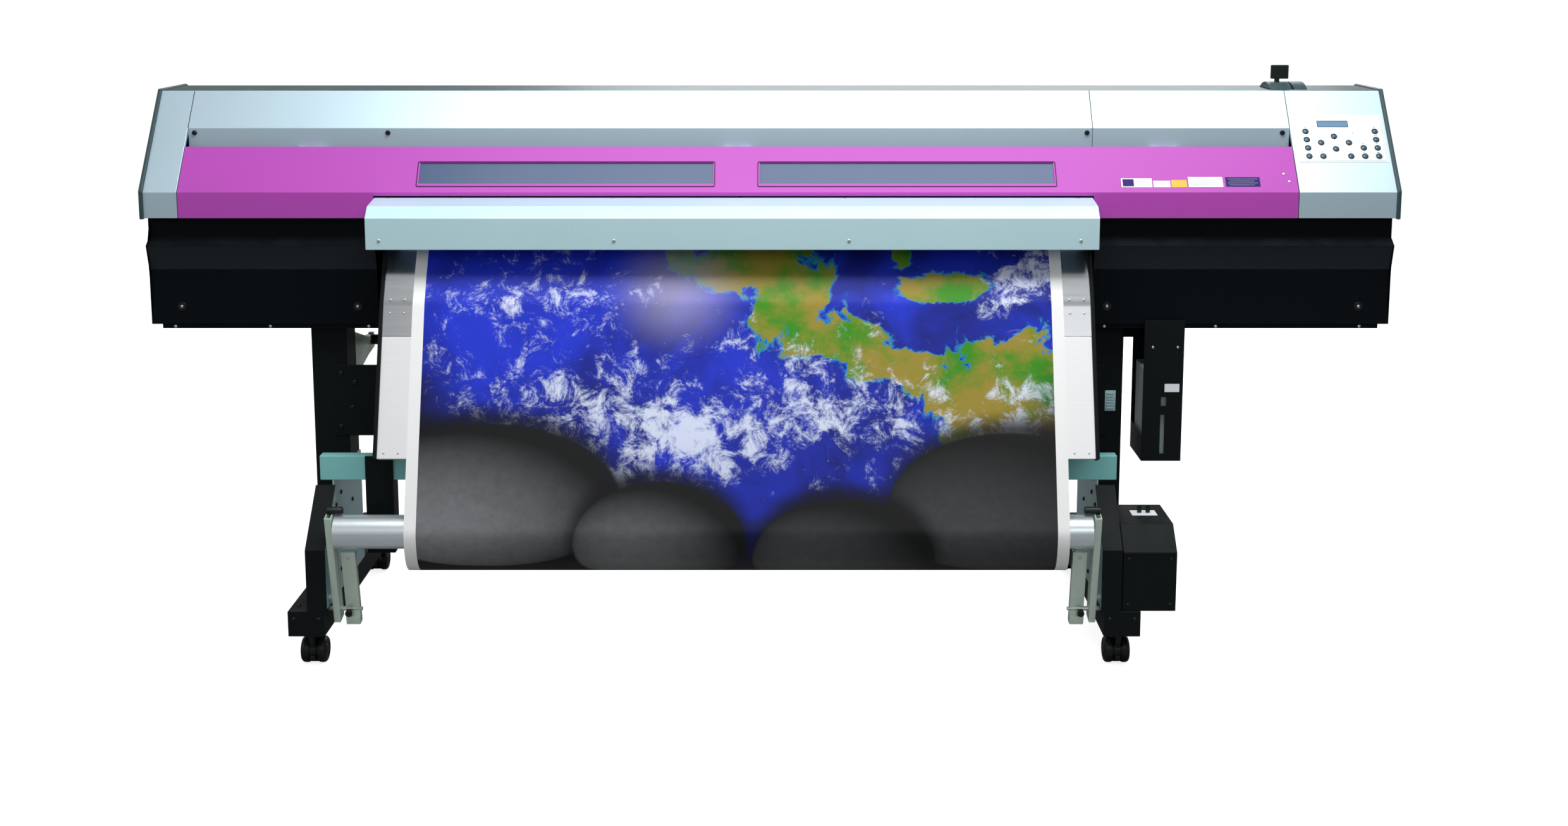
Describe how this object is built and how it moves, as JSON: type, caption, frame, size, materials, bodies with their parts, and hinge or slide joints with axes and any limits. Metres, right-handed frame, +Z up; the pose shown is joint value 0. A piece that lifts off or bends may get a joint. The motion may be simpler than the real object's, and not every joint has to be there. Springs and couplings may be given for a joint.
{
  "type": "printer cutter",
  "caption": "Wide-format roll-fed printer cutter on a castered stand, with a front dryer, a hinged cover, a control panel, a dancer tube and a motor take-up.",
  "frame": {"origin": "on the floor, under the middle of the bounding box", "axes": "+X to the operator's right along the machine, -Y towards the operator, +Z up"},
  "size_m": [2.7, 0.744, 1.248],
  "materials": {
    "silver_paint": "satin metallic",
    "magenta_cover": "satin metallic",
    "smoked_window": "clear",
    "dark_shell": "satin",
    "black_lower": "satin",
    "black_stand": "fine texture",
    "black_plastic": "matte",
    "pale_hood": "satin",
    "plate_steel": "brushed",
    "shaft_steel": "ground",
    "screw_steel": "plain",
    "motor_grey": "matte",
    "beam_grey": "satin",
    "zinc": "zinc plated",
    "tube_aluminium": "satin",
    "vinyl": "smooth",
    "overlay": "matte",
    "button_dark": "gloss",
    "roller_rubber": "matte",
    "caster_black": "satin",
    "bottle_plastic": "translucent"
  },
  "bodies": {
    "machine": {"bottle_holder": "black_stand", "carriage_rail": "plate_steel", "chassis_frame": "black_lower", "control_panel": "overlay", "drive_units": "motor_grey", "dryer_cover": "pale_hood", "dryer_plates": "plate_steel", "dryer_side_frames": "black_stand", "end_covers": "silver_paint", "fasteners": "screw_steel", "ink_and_capping_unit": "black_plastic", "lever_housing": "dark_shell", "lower_front_covers": "black_lower", "media_sheet": "vinyl", "platen": "plate_steel", "rear_cover": "dark_shell", "side_panels": "dark_shell", "stand_frame": "black_stand", "take_up_brackets": "black_stand", "take_up_drive": "black_stand", "take_up_frame": "beam_grey", "upper_front_covers": "silver_paint", "waste_bottle": "bottle_plastic"},
    "hatch": {"front_cover": "magenta_cover", "cover_windows": "smoked_window"},
    "lever": {"loading_lever": "black_plastic"},
    "pinch_arms": {"pinch_roller_arms": "shaft_steel"},
    "pinch_rollers": {"pinch_rollers": "roller_rubber"},
    "grit_roller": {"grit_roller": "shaft_steel"},
    "carriage": {"print_carriage": "motor_grey"},
    "dancer": {"dancer_arms": "zinc"},
    "dancer_tube": {"dancer_tube": "tube_aluminium"},
    "take_up": {"take_up_core": "vinyl"},
    "supply": {"supply_roll": "vinyl"},
    "mode_switch": {"drive_switch_mode": "black_plastic"},
    "direction_switch": {"drive_switch_direction": "black_plastic"},
    "key_cleaning": {"button_cleaning": "button_dark"},
    "key_down": {"button_down": "button_dark"},
    "key_enter": {"button_enter": "button_dark"},
    "key_function_1": {"button_function_1": "button_dark"},
    "key_function_2": {"button_function_2": "button_dark"},
    "key_function_3": {"button_function_3": "button_dark"},
    "key_function_4": {"button_function_4": "button_dark"},
    "key_left": {"button_left": "button_dark"},
    "key_menu": {"button_menu": "button_dark"},
    "key_pause": {"button_pause": "button_dark"},
    "key_power": {"button_power": "button_dark"},
    "key_right": {"button_right": "button_dark"},
    "key_setup": {"button_setup": "button_dark"},
    "key_sheet_cut": {"button_sheet_cut": "button_dark"},
    "key_test_print": {"button_test_print": "button_dark"},
    "key_up": {"button_up": "button_dark"},
    "fork_front_left": {"caster_fork_front_left": "caster_black"},
    "wheels_front_left": {"caster_wheels_front_left": "caster_black"},
    "fork_rear_left": {"caster_fork_rear_left": "caster_black"},
    "wheels_rear_left": {"caster_wheels_rear_left": "caster_black"},
    "fork_front_right": {"caster_fork_front_right": "caster_black"},
    "wheels_front_right": {"caster_wheels_front_right": "caster_black"},
    "fork_rear_right": {"caster_fork_rear_right": "caster_black"},
    "wheels_rear_right": {"caster_wheels_rear_right": "caster_black"}
  },
  "joints": [
    {"name": "hatch_hinge", "type": "hinge", "parent": "machine", "child": "hatch", "pos_m": [0, -0.028, 1.07], "axis": [-1, 0, 0], "range_deg": [0, 85]},
    {"name": "lever_pivot", "type": "hinge", "parent": "machine", "child": "lever", "pos_m": [1.138, 0.13, 1.16], "axis": [-1, 0, 0], "range_deg": [0, 30]},
    {"name": "pinch_lift", "type": "hinge", "parent": "machine", "child": "pinch_arms", "pos_m": [0, 0.095, 0.94], "axis": [-1, 0, 0], "range_deg": [0, 10]},
    {"name": "pinch_roller_spin", "type": "hinge", "parent": "pinch_arms", "child": "pinch_rollers", "pos_m": [0, 0.06, 0.9134], "axis": [1, 0, 0], "continuous": true},
    {"name": "grit_spin", "type": "hinge", "parent": "machine", "child": "grit_roller", "pos_m": [0, 0.06, 0.894], "axis": [1, 0, 0], "continuous": true},
    {"name": "carriage_travel", "type": "slide", "parent": "machine", "child": "carriage", "axis": [-1, 0, 0], "range_m": [0, 2.06]},
    {"name": "dancer_pivot", "type": "hinge", "parent": "machine", "child": "dancer", "pos_m": [0, -0.301, 0.154], "axis": [-1, 0, 0], "range_deg": [0, 20]},
    {"name": "dancer_tube_spin", "type": "hinge", "parent": "dancer", "child": "dancer_tube", "pos_m": [0, -0.3348, 0.307], "axis": [1, 0, 0], "continuous": true},
    {"name": "take_up_spin", "type": "hinge", "parent": "machine", "child": "take_up", "pos_m": [0, -0.209, 0.258], "axis": [1, 0, 0], "continuous": true},
    {"name": "supply_spin", "type": "hinge", "parent": "machine", "child": "supply", "pos_m": [0, 0.225, 0.6], "axis": [1, 0, 0], "continuous": true},
    {"name": "mode_toggle", "type": "hinge", "parent": "machine", "child": "mode_switch", "pos_m": [0.79, -0.214, 0.3145], "axis": [1, 0, 0], "range_deg": [-15, 15]},
    {"name": "direction_toggle", "type": "hinge", "parent": "machine", "child": "direction_switch", "pos_m": [0.808, -0.214, 0.3145], "axis": [1, 0, 0], "range_deg": [-15, 15]},
    {"name": "button_cleaning_press", "type": "slide", "parent": "machine", "child": "key_cleaning", "axis": [0, 0.7912, -0.6115], "range_m": [0, 0.0015], "stiffness_N_per_m": 600},
    {"name": "button_down_press", "type": "slide", "parent": "machine", "child": "key_down", "axis": [0, 0.7912, -0.6115], "range_m": [0, 0.0015], "stiffness_N_per_m": 600},
    {"name": "button_enter_press", "type": "slide", "parent": "machine", "child": "key_enter", "axis": [0, 0.7912, -0.6115], "range_m": [0, 0.0015], "stiffness_N_per_m": 600},
    {"name": "button_function_1_press", "type": "slide", "parent": "machine", "child": "key_function_1", "axis": [0, 0.7912, -0.6115], "range_m": [0, 0.0015], "stiffness_N_per_m": 600},
    {"name": "button_function_2_press", "type": "slide", "parent": "machine", "child": "key_function_2", "axis": [0, 0.7912, -0.6115], "range_m": [0, 0.0015], "stiffness_N_per_m": 600},
    {"name": "button_function_3_press", "type": "slide", "parent": "machine", "child": "key_function_3", "axis": [0, 0.7912, -0.6115], "range_m": [0, 0.0015], "stiffness_N_per_m": 600},
    {"name": "button_function_4_press", "type": "slide", "parent": "machine", "child": "key_function_4", "axis": [0, 0.7912, -0.6115], "range_m": [0, 0.0015], "stiffness_N_per_m": 600},
    {"name": "button_left_press", "type": "slide", "parent": "machine", "child": "key_left", "axis": [0, 0.7912, -0.6115], "range_m": [0, 0.0015], "stiffness_N_per_m": 600},
    {"name": "button_menu_press", "type": "slide", "parent": "machine", "child": "key_menu", "axis": [0, 0.7912, -0.6115], "range_m": [0, 0.0015], "stiffness_N_per_m": 600},
    {"name": "button_pause_press", "type": "slide", "parent": "machine", "child": "key_pause", "axis": [0, 0.7912, -0.6115], "range_m": [0, 0.0015], "stiffness_N_per_m": 600},
    {"name": "button_power_press", "type": "slide", "parent": "machine", "child": "key_power", "axis": [0, 0.7912, -0.6115], "range_m": [0, 0.0015], "stiffness_N_per_m": 600},
    {"name": "button_right_press", "type": "slide", "parent": "machine", "child": "key_right", "axis": [0, 0.7912, -0.6115], "range_m": [0, 0.0015], "stiffness_N_per_m": 600},
    {"name": "button_setup_press", "type": "slide", "parent": "machine", "child": "key_setup", "axis": [0, 0.7912, -0.6115], "range_m": [0, 0.0015], "stiffness_N_per_m": 600},
    {"name": "button_sheet_cut_press", "type": "slide", "parent": "machine", "child": "key_sheet_cut", "axis": [0, 0.7912, -0.6115], "range_m": [0, 0.0015], "stiffness_N_per_m": 600},
    {"name": "button_test_print_press", "type": "slide", "parent": "machine", "child": "key_test_print", "axis": [0, 0.7912, -0.6115], "range_m": [0, 0.0015], "stiffness_N_per_m": 600},
    {"name": "button_up_press", "type": "slide", "parent": "machine", "child": "key_up", "axis": [0, 0.7912, -0.6115], "range_m": [0, 0.0015], "stiffness_N_per_m": 600},
    {"name": "caster_swivel_front_left", "type": "hinge", "parent": "machine", "child": "fork_front_left", "pos_m": [-0.969, -0.288, 0.08], "axis": [0, 0, 1], "continuous": true},
    {"name": "caster_wheel_front_left", "type": "hinge", "parent": "fork_front_left", "child": "wheels_front_left", "pos_m": [-0.969, -0.27, 0.028], "axis": [1, 0, 0], "continuous": true},
    {"name": "caster_swivel_rear_left", "type": "hinge", "parent": "machine", "child": "fork_rear_left", "pos_m": [-0.969, 0.322, 0.08], "axis": [0, 0, 1], "continuous": true},
    {"name": "caster_wheel_rear_left", "type": "hinge", "parent": "fork_rear_left", "child": "wheels_rear_left", "pos_m": [-0.969, 0.34, 0.028], "axis": [1, 0, 0], "continuous": true},
    {"name": "caster_swivel_front_right", "type": "hinge", "parent": "machine", "child": "fork_front_right", "pos_m": [0.737, -0.288, 0.08], "axis": [0, 0, 1], "continuous": true},
    {"name": "caster_wheel_front_right", "type": "hinge", "parent": "fork_front_right", "child": "wheels_front_right", "pos_m": [0.737, -0.27, 0.028], "axis": [1, 0, 0], "continuous": true},
    {"name": "caster_swivel_rear_right", "type": "hinge", "parent": "machine", "child": "fork_rear_right", "pos_m": [0.737, 0.322, 0.08], "axis": [0, 0, 1], "continuous": true},
    {"name": "caster_wheel_rear_right", "type": "hinge", "parent": "fork_rear_right", "child": "wheels_rear_right", "pos_m": [0.737, 0.34, 0.028], "axis": [1, 0, 0], "continuous": true}
  ],
  "couplings": [
    {"joint": "pinch_lift", "follows": "lever_pivot", "ratio": 0.3333},
    {"joint": "pinch_roller_spin", "follows": "grit_spin", "ratio": -1.25}
  ]
}
